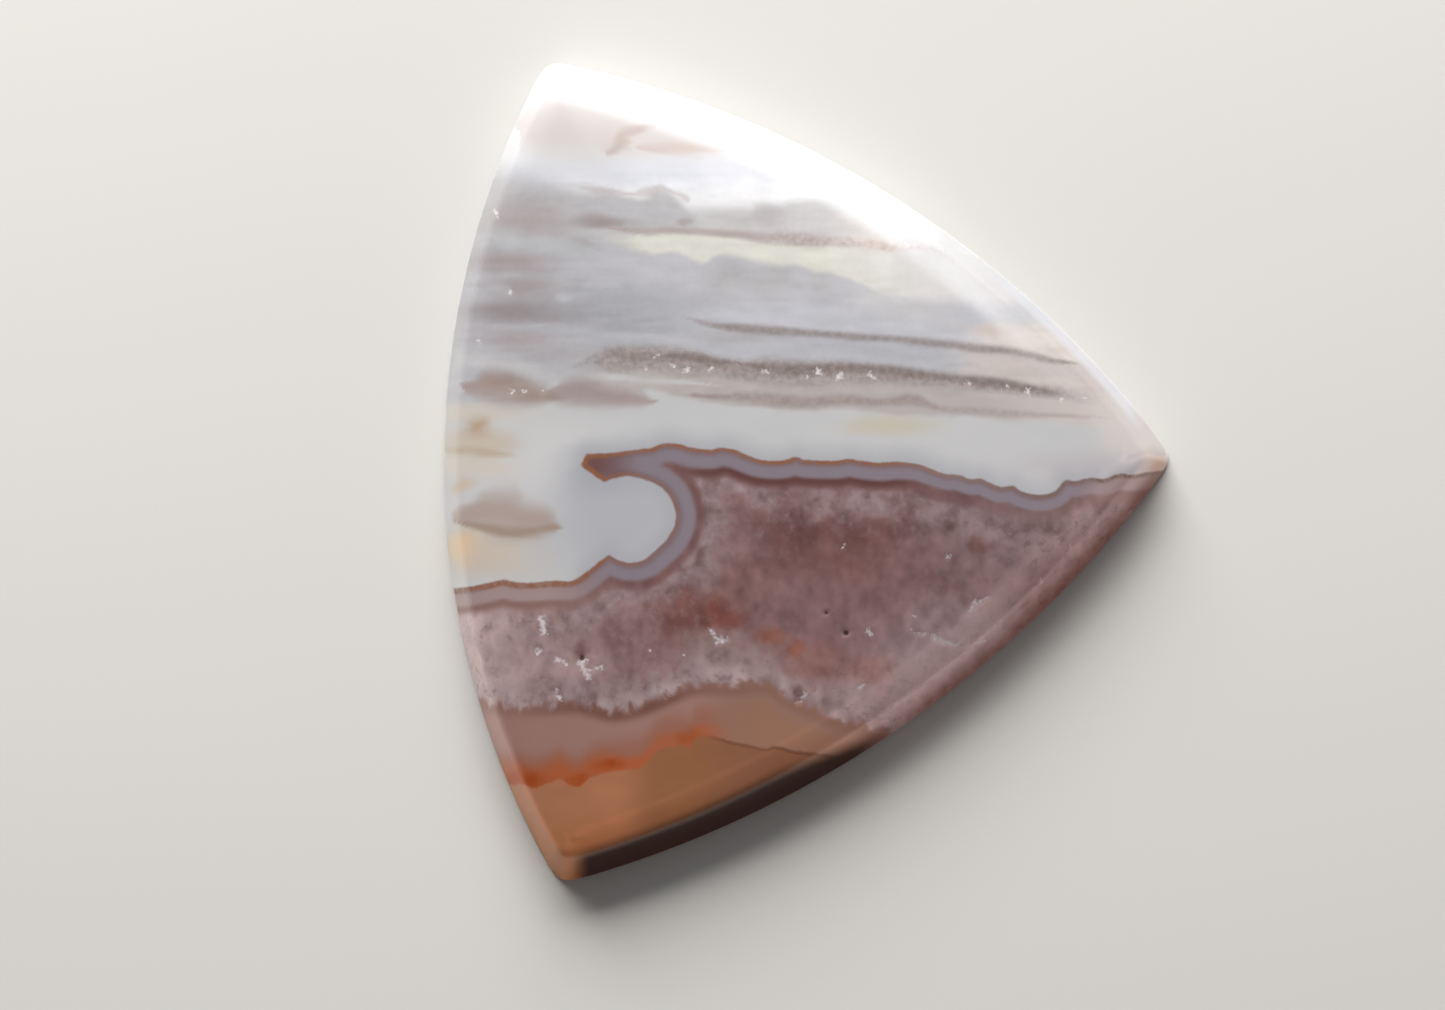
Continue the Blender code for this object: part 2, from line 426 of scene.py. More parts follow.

# Bright specks, painted glints where crystal faces catch the light, and pale cracks: across and down at
# both ends, and half width. The halo is how many half widths they reach.
GLINTS = (
    (869, 631, 870, 633, 3.2), (934, 636, 944, 641, 3.4), (944, 641, 957, 645, 2.4),
    (914, 632, 934, 636, 1.4), (957, 645, 964, 637, 1.2), (960, 648, 986, 641, 1),
    (970, 611, 976, 602, 2.8), (976, 602, 990, 597, 1.2), (1070, 545, 1072, 547, 2),
    (1040, 580, 1041, 582, 2), (711, 630, 717, 640, 2.8), (717, 642, 726, 639, 3),
    (579, 664, 586, 661, 2.8), (583, 668, 588, 676, 3.2), (589, 670, 601, 667, 2.2),
    (541, 618, 544, 632, 3.4), (536, 652, 539, 651, 3), (557, 659, 566, 664, 2.8),
    (650, 650, 651, 651, 1.6), (684, 655, 685, 655, 1.3), (555, 690, 560, 700, 2.4),
    (798, 703, 805, 694, 2.8), (859, 688, 863, 684, 1.6), (842, 548, 845, 545, 1.4),
    (914, 616, 915, 617, 1.6), (910, 629, 911, 630, 1.6), (947, 557, 950, 556, 1.8),
    (645, 368, 646, 369, 1.8), (671, 365, 673, 366, 2), (684, 370, 688, 369, 2.6),
    (709, 369, 712, 368, 2.2), (655, 357, 658, 355, 1.8), (764, 371, 768, 371, 2.2),
    (817, 371, 820, 373, 3.4), (837, 377, 841, 375, 3.4), (870, 374, 872, 376, 3.2),
    (806, 377, 807, 377, 1.8), (966, 383, 968, 383, 2.6), (1007, 386, 1008, 387, 1.8),
    (1027, 391, 1030, 391, 2.8), (1030, 398, 1031, 398, 1.5), (1061, 399, 1062, 399, 1.6),
    (1084, 398, 1085, 398, 1.4), (511, 392, 513, 391, 2.6), (524, 391, 526, 391, 2.2),
    (541, 391, 543, 390, 1.5), (508, 292, 510, 293, 2.2), (495, 212, 497, 216, 2.6),
    (478, 341, 480, 342, 2.4),
)
GLINT_HALO = 1.9

# Open pits: across, down and reach
PITS = ((846, 633, 4.0), (826, 613, 2.6), (582, 658, 4.0))

# From where to where, across the photo, parts of the white agate come in or change
GREY_SHARPENS = (560, 620)
GREY_END = (684, 730)
PEARL_START = (560, 640)
PEARL_PALES = (930, 1000)
ONE_PALES = (800, 900)
ONE_GRAIN_START = (740, 800)
TWO_START = (665, 725)
THREE_START = (555, 625)
THREE_END = (1020, 1110)
FOUR_PALES = (900, 980)
BLUE_EDGE_START = (560, 590)
TIP_START = (1080, 1130)
LIT_RIM_END = (960, 1060)
GLARE_GROWS = (880, 1020)
WALL_HIGHLIGHT_START = (960, 1020)
WALL_HIGHLIGHT_END = (1125, 1145)

# The same down the photo
DEEP_TAN_TOP = (800, 850)
TIP_TOP = (300, 340)
TIP_FOOT = (440, 470)
STREAKY_TOP = (150, 190)
STREAKY_FOOT = (392, 410)

# The same across it for the band of chalcedony and the rusty line above it
BAND_LEFT_END = (540, 620)
BAND_THICK_END = (560, 610)
BAND_THINS = (880, 940)
BAND_TIP_START = (1060, 1120)
INLET_FADES = (596, 650)
WINE_START = (684, 704)
WINE_THINS = (900, 960)
WINE_END = (890, 935)
LINE_SLIMS = (560, 620)
LINE_COOLS = (860, 960)

# For the crystal and what lies below it
HEM_START = (560, 600)
HEM_WIDENS = (740, 800)
CRYSTAL_DIMS = (860, 960)
SHOULDER_GLOW_START = (850, 910)
SHOULDER_GLOW_END = (990, 1050)
PEACH_START = (690, 740)
LOW_TAN_START = (700, 760)
EMBER_FADES = (700, 738)
ORANGE_NARROWS = (590, 640)
ORANGE_PALES = (630, 665)
SEAM_START = (696, 730)
MIDDLE_TAN_START = (610, 660)
BARK_START = (670, 750)

# For the painted shade on the lower wall
SHADED_WALL_START = (560, 590)
SHADED_WALL_THINS = (760, 890)
SHADED_WALL_END = (850, 930)
FOOT_SHADE_START = (880, 930)

# From how far to how far below the white's edge its parts start or end, in pixels
BLUE_EDGE = (-24, -1)
BAND_RIM_END = (3, 8)
BAND_END = (14, 19)
WINE_NEAR = (13, 18)
WINE_FAR = (20, 29)
HEM_NEAR = (24, 31)
FROST_NEAR = (24, 32)
HEM_FOOT = 46
HEM_GROWTH = 10

# Noise that breaks up the pattern: width and height of its bumps in pixels, and a seed
WAVER = (46, 15, 3)
FLOW = (34, 5, 11)
PUFF = (17, 13, 23)
CRYSTAL_PUFF = (22, 18, 41)
FUZZ = (9, 11, 53)
NEEDLES = (5, 13, 67)
CLUMPS = (14, 16, 59)
TAN_PUFF = (40, 22, 71)
NOISE_TABLE = 128

# The material's own noise, in bumps to a millimetre
SPECKLE_SCALE = 3.4
WOBBLE_SCALE = 2.6
FUZZ_SCALE = 1.8
GRAIN_SCALE = 5.0
SPARKLE_SCALE = 6.0


# Camera


def camera_pose():
    """The camera's place and its turn from looking straight down."""
    back = Vector((
        math.sin(CAMERA_TILT) * math.cos(CAMERA_SIDE),
        math.sin(CAMERA_TILT) * math.sin(CAMERA_SIDE),
        math.cos(CAMERA_TILT),
    ))
    return VIEW_MIDDLE + back * CAMERA_DISTANCE, Vector((0, 0, 1)).rotation_difference(back)


def photo_pixels(points):
    """Where points of the stone are seen in the photograph, as arrays of pixels across and down."""
    place, turn = camera_pose()
    seen = (points - np.array(place)) @ np.array(turn.to_matrix())
    focal = LENS_MM / SENSOR_WIDTH_MM * PHOTO_WIDTH
    across = PHOTO_WIDTH / 2 - focal * seen[:, 0] / seen[:, 2]
    down = PHOTO_HEIGHT / 2 + focal * seen[:, 1] / seen[:, 2]
    return across, down


def add_camera():
    camera = bpy.data.objects.new("camera", bpy.data.cameras.new("camera"))
    bpy.context.scene.collection.objects.link(camera)
    camera.location, turn = camera_pose()
    camera.rotation_mode = "QUATERNION"
    camera.rotation_quaternion = turn
    camera.data.sensor_width = SENSOR_WIDTH_MM
    camera.data.lens = LENS_MM
    camera.data.clip_start = CAMERA_NEAR
    bpy.context.scene.camera = camera


# Shape of the stone


def disc_reach(side, angle, inset=0):
    """Distance from the crown to one disc's rim, with the disc made smaller by inset."""
    x, y, radius = side
    along = x * np.cos(angle) + y * np.sin(angle)
    return along + np.sqrt(along**2 - x**2 - y**2 + (radius - inset) ** 2)


def outline_reach(angle, inset, sharpness):
    """Distance from the crown to the outline: the overlap of three discs, with soft corners."""
    total = sum((disc_reach(side, angle, inset) / MM) ** -sharpness for side in SIDES)
    return total ** (-1 / sharpness) * MM


def corner_angles():
    """Directions from the crown to the three corners, where two neighbouring sides reach equally far."""
    fine = np.linspace(0, math.tau, SEARCH_STEPS, endpoint=False)
    nearest = np.argmin([disc_reach(side, fine) for side in SIDES], axis=0)
    return fine[nearest != np.roll(nearest, 1)]


CORNERS = corner_angles()


def ring_angles(count):
    """Directions to the points of a ring with six times count points, closer together at the corners."""
    place = (np.arange(6 * count) / count + 1) % 6
    side = (place // 2).astype(int)
    even = (place % 2) / 2
    crowded = (1 - np.cos(np.pi * even)) / 2
    span = (CORNERS[(side + 1) % 3] - CORNERS[side]) % math.tau
    return CORNERS[side] + span * (even + crowded) / 2


def crown_place():
    """Where the crown stands when the origin is the middle of the outline's box."""
    angles = ring_angles(RING_STEPS)
    rim = outline_reach(angles, 0, RIM_SHARPNESS)
    x, y = rim * np.cos(angles), rim * np.sin(angles)
    return -(x.min() + x.max()) / 2, -(y.min() + y.max()) / 2


CROWN_X, CROWN_Y = crown_place()


def ring(count, inset, share, sharpness, height):
    angles = ring_angles(count)
    reach = share * outline_reach(angles, inset, sharpness)
    x = CROWN_X + reach * np.cos(angles)
    y = CROWN_Y + reach * np.sin(angles)
    return np.stack([x, y, np.full(len(x), height)], 1)


def disc_faces(rings, first):
    """Faces of a disc whose middle is the vertex first and whose ring n has 6n vertices after it."""
    faces = []
    for n in range(1, rings + 1):
        inner_start = first + 1 + 3 * (n - 1) * (n - 2)
        outer_start = first + 1 + 3 * n * (n - 1)
        inner_count = 6 * (n - 1)

        def inner(q):
            return first if n == 1 else inner_start + q % inner_count

        def outer(q):
            return outer_start + q % (6 * n)

        for patch in range(3):
            a = 2 * patch * (n - 1)
            b = 2 * patch * n
            for q in range(n - 1):
                faces.append((inner(a + q), outer(b + q), outer(b + q + 1), inner(a + q + 1)))
            faces.append((inner(a + n - 1), outer(b + n - 1), outer(b + n), outer(b + n + 1)))
            for q in range(n - 1, 2 * (n - 1)):
                faces.append((inner(a + q), outer(b + q + 2), outer(b + q + 3), inner(a + q + 1)))
    return faces


def wall_profile():
    """The shoulder and the wall as (inset, height), from below the dome's edge to the base chamfer."""
    top = np.array([SHOULDER_INSET, SHOULDER_TOP])
    edge = np.array([WALL_FLARE, WALL_TOP])
    foot = np.array([0.0, BASE_CHAMFER])
    before = edge + (top - edge) / np.linalg.norm(top - edge) * EDGE_ROUNDING
    after = edge + (foot - edge) / np.linalg.norm(foot - edge) * EDGE_ROUNDING

    def run(start, end):
        steps = max(2, round(np.linalg.norm(end - start) / WALL_STEP))
        return [start + (end - start) * i / steps for i in range(steps)]

    steps = np.linspace(0, 1, EDGE_POINTS)
    arc = [before * (1 - t) ** 2 + 2 * edge * t * (1 - t) + after * t**2 for t in steps]
    return run(top, before)[1:] + arc[:-1] + run(after, foot) + [foot]


def side_inset(points, side):
    """How far points lie in from one side's rim, seen from above."""
    disc_x, disc_y, radius = side
    return radius - np.hypot(points[:, 0] - CROWN_X - disc_x, points[:, 1] - CROWN_Y - disc_y)


def round_crease(points):
    """Lowers the line between dome and shoulder, most at the line itself."""
    inset = np.min([side_inset(points, side) for side in SIDES], axis=0)
    nearness = np.maximum(1 - np.abs(inset - SHOULDER_INSET) / CREASE_WIDTH, 0)
    points[:, 2] -= np.where(points[:, 2] > WALL_TOP, CREASE_DROP * nearness**2, 0)


def stone_geometry():
    """The vertices and faces of the whole stone, fine on the dome and wall and coarser under the base."""
    points = [np.array([[CROWN_X, CROWN_Y, THICKNESS]])]
    for n in range(1, DOME_RINGS + 1):
        share = n / DOME_RINGS
        sharpness = CROWN_SHARPNESS + (RIM_SHARPNESS - CROWN_SHARPNESS) * share**CORNER_FADE
        height = SHOULDER_TOP + (THICKNESS - SHOULDER_TOP) * (1 - share**DOME_FULLNESS)
        points.append(ring(n, SHOULDER_INSET, share, sharpness, height))
    faces = disc_faces(DOME_RINGS, 0)

    around = 6 * DOME_RINGS
    above = sum(len(p) for p in points) - around
    for inset, height in wall_profile():
        points.append(ring(DOME_RINGS, inset, 1.0, RIM_SHARPNESS, height))
        below = above + around
        for q in range(around):
            r = (q + 1) % around
            faces.append((above + q, below + q, below + r, above + r))
        above = below

    base = above + around
    points.append(np.array([[CROWN_X, CROWN_Y, 0.0]]))
    for n in range(1, BASE_RINGS + 1):
        points.append(ring(n, BASE_CHAMFER, n / BASE_RINGS, RIM_SHARPNESS, 0.0))
    faces += [face[::-1] for face in disc_faces(BASE_RINGS, base)]
    half = around // 2
    rim = base + 1 + 3 * BASE_RINGS * (BASE_RINGS - 1)
    for q in range(half):
        start, middle, end = above + 2 * q, above + 2 * q + 1, above + (2 * q + 2) % around
        here, there = rim + q, rim + (q + 1) % half
        faces += [(start, here, middle), (middle, here, there), (middle, there, end)]
    points = np.concatenate(points)
    round_crease(points)
    return points, faces


# Drawing the pattern


def rise(low, high, value):
    """0 below low, 1 above high, and smooth between."""
    t = np.clip((value - low) / (high - low), 0, 1)
    return t * t * (3 - 2 * t)


def spline(points, steps=5):
    """A smooth line through given points."""
    p = np.array(points, float)
    p = np.concatenate([[2 * p[0] - p[1]], p, [2 * p[-1] - p[-2]]])
    t = np.linspace(0, 1, steps, endpoint=False)[:, None]
    out = []
    for a, b, c, d in zip(p, p[1:], p[2:], p[3:]):
        turn = (a - 2.5 * b + 2 * c - d / 2) * t**2
        out.append(b + (c - a) / 2 * t + turn + (1.5 * (b - c) + (d - a) / 2) * t**3)
    return np.concatenate(out + [p[-2:-1]])


def grid_noise(x, y, seed):
    """Smooth random values from -1 to 1, with about one bump to a unit square."""
    table = np.random.default_rng(seed).uniform(-1, 1, (NOISE_TABLE, NOISE_TABLE))
    column, row = np.floor(x).astype(int), np.floor(y).astype(int)
    u, v = rise(0, 1, x - column), rise(0, 1, y - row)

    def along(row):
        start = table[row % NOISE_TABLE, column % NOISE_TABLE]
        end = table[row % NOISE_TABLE, (column + 1) % NOISE_TABLE]
        return start * (1 - u) + end * u

    return along(row) * (1 - v) + along(row + 1) * v


def cloud(x, y, width, height, seed, octaves=3):
    """Layered noise, with bumps about width by height pixels in its coarsest layer."""
    total = 0
    for octave in range(octaves):
        scale = 2**octave
        total = total + grid_noise(x / width * scale, y / height * scale, seed + octave) / scale
    return total


def distance_to(x, y, ax, ay, bx, by):
    """Distance from points to the stretch between a and b."""
    dx, dy = bx - ax, by - ay
    t = np.clip(((x - ax) * dx + (y - ay) * dy) / (dx * dx + dy * dy), 0, 1)
    return np.hypot(x - ax - t * dx, y - ay - t * dy)


def white_edge_distance(x, y):
    """Pixels from the white agate's lower edge: below zero in the white, above zero in the crystal."""
    inlet = np.array(EDGE_INLET[:-1], float)
    line = np.concatenate([spline(EDGE_LEFT)[:-1], spline(EDGE_BULB)[:-1], inlet, spline(EDGE_RIGHT)])
    near = np.full(len(x), np.inf)
    below = np.zeros(len(x), bool)
    for (ax, ay), (bx, by) in zip(line, line[1:]):
        near = np.minimum(near, distance_to(x, y, ax, ay, bx, by))
        crossed = ((ax <= x) & (x < bx)) | ((bx <= x) & (x < ax))
        if ax != bx:
            below ^= crossed & (y > ay + (x - ax) / (bx - ax) * (by - ay))
    return np.where(below, near, -near)


def depth_below(x, y, points):
    """Pixels below a line, measured straight down."""
    line = spline(points)
    return y - np.interp(x, line[:, 0], line[:, 1])


def oval_share(x, y, oval):
    """0 in the middle of an oval, 1 on its rim, and more outside it."""
    across, down, wide, high = oval
    return np.hypot((x - across) / wide, (y - down) / high)


def blend(colours, colour, cover):
    """Lays one colour over others, in place."""
    colours += (colour - colours) * cover[:, None]


class Paint:
    """The colours of points in the photograph's plane, laid one over another."""

    def __init__(self, x, y, colour):
        self.x, self.y = x, y
        self.colours = np.tile(colour, (len(x), 1))

    def lay(self, colour, cover):
        blend(self.colours, colour, np.clip(cover, 0, 1))

    def wash(self, washes, puff):
        """Lays washes below their lines, feathered by the noise puff."""
        for colour, strength, line, border, feather, start in washes:
            below = rise(*border, depth_below(self.x, self.y, line) + feather * puff)
            self.lay(colour, below * rise(*start, self.x) * strength)

    def streak(self, points, edge):
        """Cover of a streak: 1 along its middle, 0 past its half width."""
        line = spline(points)
        middle = np.interp(self.x, line[:, 0], line[:, 1])
        half = np.interp(self.x, line[:, 0], np.maximum(line[:, 2], 0), left=0, right=0)
        away = np.abs(self.y - middle)
        cover = 1 - rise(half * (1 - edge), half * (1 + edge) + LEAST_FRINGE, away)
        return cover * np.minimum(1, half)

    def patch(self, oval, edge=0.6):
        """Cover of an oval patch with a soft edge."""
        return 1 - rise(1 - edge, 1 + edge, oval_share(self.x, self.y, oval))


def paint_white_agate(x, y, edge):
    """The white, grey and brown-grey agate above the white edge, and how grainy it is."""
    waver = cloud(x, y, *WAVER)
    flow = cloud(x, y, *FLOW)
    puff = cloud(x, y, *PUFF)
    px = x + 7 * waver + 2 * puff
    py = y + 2.2 * waver + 1.1 * flow
    paint = Paint(px, py, SNOW)

    soft = 8 * (1 - rise(*GREY_SHARPENS, px))
    grey = rise(0, 1, (depth_below(px, py, GREY_TOP) + 3.0 * puff + 5 + soft) / (13 + 2 * soft))
    paint.lay(GREY_MILK, grey * (1 - rise(*GREY_END, px)))
    paint.wash(UPPER_WASHES, puff)
    pearl = rise(-2, 5, depth_below(px, py, LINE_TWO)) * rise(*PEARL_START, px)
    paint.lay(PEARL, pearl * (1 - 0.6 * rise(*PEARL_PALES, px)))
    paint.wash(LOWER_WASHES, puff)
    paint.lay(TIP_PINK, rise(*TIP_START, px) * rise(*TIP_TOP, py) * (1 - rise(*TIP_FOOT, py)))

    for colour, strength, *oval in PATCHES:
        paint.lay(colour, paint.patch(oval, edge=0.8) * strength)
    for colour, strength, points in STREAKS:
        paint.lay(colour, paint.streak(points, edge=0.9) * strength)

    one = paint.streak(LINE_ONE, edge=0.8)
    four = paint.streak(LINE_FOUR, edge=0.8)
    paint.lay(ONE_BROWN, one * 0.75 * (1 - rise(*ONE_PALES, px)))
    paint.lay(ONE_PALE, one * 0.9 * rise(*ONE_PALES, px))
    paint.lay(FOUR_GREY, four * (0.9 - 0.35 * rise(*FOUR_PALES, px)))

    paint.x, paint.y = x + 4 * waver, y + 0.5 * waver + 0.7 * flow
    two = paint.streak(LINE_TWO, edge=0.7) * rise(*TWO_START, x)
    three = paint.streak(LINE_THREE, edge=0.7) * rise(*THREE_START, x) * (1 - rise(*THREE_END, x))
    under_three = rise(-2, 8, depth_below(paint.x, paint.y, LINE_THREE))
    paint.lay(TWO_GREY, two * 0.8)
    paint.lay(UMBER, three)
    paint.lay(THREE_PALE, three * under_three * 0.6)
    paint.lay(DARK_UMBER, paint.streak(LINE_THREE_DARK, edge=0.6) * 0.75)
    paint.lay(BLUE_MILK, rise(*BLUE_EDGE, edge) * rise(*BLUE_EDGE_START, x) * 0.75)
    paint.lay(TIP_BROWN, paint.patch(TIP_SPOT, edge=0.9) * 0.9)

    streaky = (1 - rise(*STREAKY_FOOT, y)) * rise(*STREAKY_TOP, y)
    dim = sum(strength * paint.patch(oval, edge=0.9) for strength, *oval in DIM_SPOTS)
    paint.colours *= (1 - dim + (0.045 * flow + 0.03 * puff) * streaky + 0.012 * waver)[:, None]
    grain = three + 0.6 * one * rise(*ONE_GRAIN_START, px) + 0.5 * two + 0.4 * four + 0.10 * streaky
    return paint.colours, np.clip(grain, 0, 1)


def lay_floor(paint, x, floor, ember, sunk, puff, fuzz):
    """What lies below the crystal: clay and peach, dark along the top, with an orange glow at the foot."""
    paint.lay(CLAY, sunk)
    paint.lay(PEACH, sunk * rise(*PEACH_START, x))
    paint.lay(LOW_TAN, sunk * rise(14, 26, floor) * rise(*LOW_TAN_START, x) * 0.7)
    shade = sunk * (1 - rise(5, 17, floor))
    paint.lay(CHESTNUT, shade * (0.35 + 0.6 * paint.patch(CHESTNUT_SPOT)))
    fading = 1 - rise(*EMBER_FADES, x)
    paint.lay(EMBER_HALO, sunk * (1 - rise(18, 42, ember)) * fading * 0.8)
    orange_reach = 31 - 13 * rise(*ORANGE_NARROWS, x)
    orange = sunk * (1 - rise(8, orange_reach, ember + 1.5 * puff)) * fading
    paint.lay(ORANGE, orange * (0.95 - 0.3 * rise(*ORANGE_PALES, x)))
    for oval in EMBER_SPOTS:
        paint.lay(EMBER, sunk * paint.patch(oval) * (0.7 + 0.3 * fuzz))
    paint.lay(EMBER_END, sunk * paint.patch(EMBER_END_SPOT) * 0.7)


def lay_band(paint, x, edge):
    """The band of chalcedony under the white's edge, the wine-dark line below it, and the inlet's point."""
    thickness = 1 + 0.06 * (1 - rise(*BAND_THICK_END, x)) - 0.12 * rise(*BAND_THINS, x)
    thickness += 0.16 * paint.patch(BULB_SIDE)
    band = edge / thickness
    left = 1 - rise(*BAND_LEFT_END, x)
    clear = 1 - 0.45 * rise(*WINE_THINS, x) - 0.5 * paint.patch(BULB_CLEAR)
    in_band = 1 - rise(*BAND_END, band)
    wine = rise(*WINE_NEAR, band) * (1 - rise(*WINE_FAR, band))
    wine_right = wine * clear * (1 - left) * (0.4 + 0.6 * rise(*WINE_START, x))
    paint.lay(WINE, wine_right * (1 - 0.8 * rise(*WINE_END, x)))
    paint.lay(LIGHT_WINE, wine * left)
    paint.lay(LAVENDER, in_band * (1 - left))
    paint.lay(PINK_LAVENDER, in_band * left)
    paint.lay(BAND_RIM, (1 - rise(*BAND_RIM_END, band)) * (0.6 - 0.3 * left))
    paint.lay(BAND_TIP, in_band * rise(*BAND_TIP_START, x) * 0.8)
    paint.lay(INLET_WINE, paint.streak(INLET, edge=0.8) * (1 - rise(*INLET_FADES, x)))


def paint_crystal(x, y, edge, floor, ember):
    """The crystal, what lies below it and the band of chalcedony above it, and how frosty it is."""
    puff = cloud(x, y, *CRYSTAL_PUFF)
    fuzz = cloud(x, y, *FUZZ)
    needles = cloud(x, y, *NEEDLES)
    clump = cloud(x, y, *CLUMPS, octaves=2)
    paint = Paint(x + 5 * puff, y + 4 * puff, MAUVE)
    for colour, strength, *oval in CRYSTAL_PATCHES:
        paint.lay(colour, paint.patch(oval) * strength)

    # A pale hem below the band, and a pale fringe above the floor
    hem_foot = HEM_FOOT + HEM_GROWTH * rise(*HEM_WIDENS, x)
    hem = rise(*HEM_NEAR, edge) * (1 - rise(hem_foot - 8, hem_foot + 12, edge + 12 * clump))
    paint.lay(HEM_GREY, hem * rise(*HEM_START, x) * (0.62 + 0.5 * clump))
    above_floor = -floor + 5 * needles
    fringe = rise(-2, 5, above_floor) * (1 - rise(12, 40, above_floor + 9 * clump))
    paint.lay(FROST, fringe * (0.55 + 0.5 * clump))
    tone = 1.11 - 0.14 * rise(*CRYSTAL_DIMS, x) + 0.12 * fuzz + 0.07 * needles + 0.13 * clump
    paint.colours *= tone[:, None]

    sunk = rise(-3, 4, -above_floor)
    lay_floor(paint, x, floor, ember, sunk, puff, fuzz)
    lay_band(paint, x, edge)
    frost = rise(*FROST_NEAR, edge) * (1 - sunk) * (0.4 + 0.4 * np.maximum(hem, fringe))
    return paint.colours, np.clip(frost * (1 - 0.6 * paint.patch(CALM_CRYSTAL)), 0, 1)


def paint_tan(x, y):
    """The tan corner below the orange band."""
    puff = cloud(x, y, *TAN_PUFF)
    paint = Paint(x + 6 * puff, y, TAN)
    paint.lay(DEEP_TAN, rise(*DEEP_TAN_TOP, y))
    paint.lay(MIDDLE_TAN, rise(*MIDDLE_TAN_START, x))
    paint.lay(BARK, rise(*BARK_START, x))
    paint.colours *= (1 + 0.05 * puff)[:, None]
    return paint.colours


def fade_over_dome(inset):
    """1 on the wall and the shoulder of a side, and 0 a little way up the dome."""
    return 1 - rise(SHOULDER_INSET, SHOULDER_INSET + SHOULDER_FADE, inset)


def paint_rim(white, crystal, below_upper, above_lower, x):
    """Paints highlights on the upper rim and wall, glow and sheen on the lower shoulder, and shade at the
    wall's foot.
    """
    # Painted highlight: white along the upper rim, fading a little way up the dome
    blend(white, SNOW, 0.7 * fade_over_dome(below_upper) * (1 - rise(*LIT_RIM_END, x)))
    # Painted highlight: a pale strip on the upper wall towards the right-hand tip
    wall_highlight = (1 - rise(0.35 * WALL_FLARE, 0.75 * WALL_FLARE, below_upper)) * rise(*WALL_HIGHLIGHT_START, x)
    blend(white, ICE, 0.75 * wall_highlight * (1 - rise(*WALL_HIGHLIGHT_END, x)))
    # Painted light: a pale glow and sheen on the lower shoulder, which faces away from the window
    on_shoulder = rise(0.7 * WALL_FLARE, 1.0 * WALL_FLARE, above_lower) * fade_over_dome(above_lower)
    shoulder_glow = on_shoulder * rise(*SHOULDER_GLOW_START, x) * (1 - 0.8 * rise(*SHOULDER_GLOW_END, x))
    blend(crystal, FROST, 0.55 * shoulder_glow)
    # Painted shade: the foot of the lower wall darkened towards the right, where it meets its shadow
    foot_shade = (1 - rise(0.1 * WALL_FLARE, 0.8 * WALL_FLARE, above_lower)) * rise(*FOOT_SHADE_START, x)
    blend(crystal, WALL_FOOT_SHADE, 0.72 * foot_shade)


def glint_strength(x, y):
    """1 at a painted glint and at a pale crack, and 0 a little way off."""
    best = np.zeros(len(x))
    for ax, ay, bx, by, half in GLINTS:
        best = np.maximum(best, 1 - distance_to(x, y, ax, ay, bx, by) / (GLINT_HALO * half))
    return np.maximum(best, 0)


def shaded_wall_cover(inset, x):
    """Where painted shade darkens the lower side's wall, below the tan corner. It thins out to the right.
    """
    top = (1.5 - 0.75 * rise(*SHADED_WALL_THINS, x)) * WALL_FLARE
    on_wall = 1 - rise(top - 0.7 * WALL_FLARE, top, inset)
    return on_wall * rise(*SHADED_WALL_START, x) * (1 - rise(*SHADED_WALL_END, x))


def edge_line_strength(x, y):
    """How strong the rusty line along the white's edge is: 1, and less round the bulb."""
    return 1 - 0.5 * (1 - rise(0.8, 1.3, oval_share(x, y, BULB)))


def pit_depth(x, y):
    """1 in the middle of an open pit and 0 at its rim."""
    deepest = np.zeros(len(x))
    for across, down, reach in PITS:
        deepest = np.maximum(deepest, 1 - np.hypot(x - across, y - down) / reach)
    return np.maximum(deepest, 0)


# The stone


def add_field(mesh, name, values):
    attribute = mesh.attributes.new(name, "FLOAT", "POINT")
    attribute.data.foreach_set("value", np.asarray(values, np.float32))


def add_colour(mesh, name, colours, light):
    """Stores painted colours, made up for the sheen and for the light that each spot gets."""
    attribute = mesh.attributes.new(name, "FLOAT_COLOR", "POINT")
    own = np.maximum((colours - SHEEN) / light[:, None], DARKEST)
    own *= np.minimum(1, BRIGHTEST / own.max(axis=1))[:, None]
    with_alpha = np.concatenate([own, np.ones((len(own), 1))], 1)
    attribute.data.foreach_set("color", with_alpha.astype(np.float32).ravel())


def light_share(normals, x):
    """How much light each spot gets, next to a level spot. Along the top the bevel keeps its glare."""
    toward_window = np.array(direction(WINDOW_AZIMUTH, 0))[:2]
    up = normals[:, 2]
    share = up + SLOPE_GAIN * (normals[:, :2] @ toward_window) + TABLE_SHARE * (1 - up)
    most = GLARE_SHARE + rise(*GLARE_GROWS, x)
    underside = up < -0.5
    return np.where(underside, 1, np.clip(share, LEAST_SHARE, most))


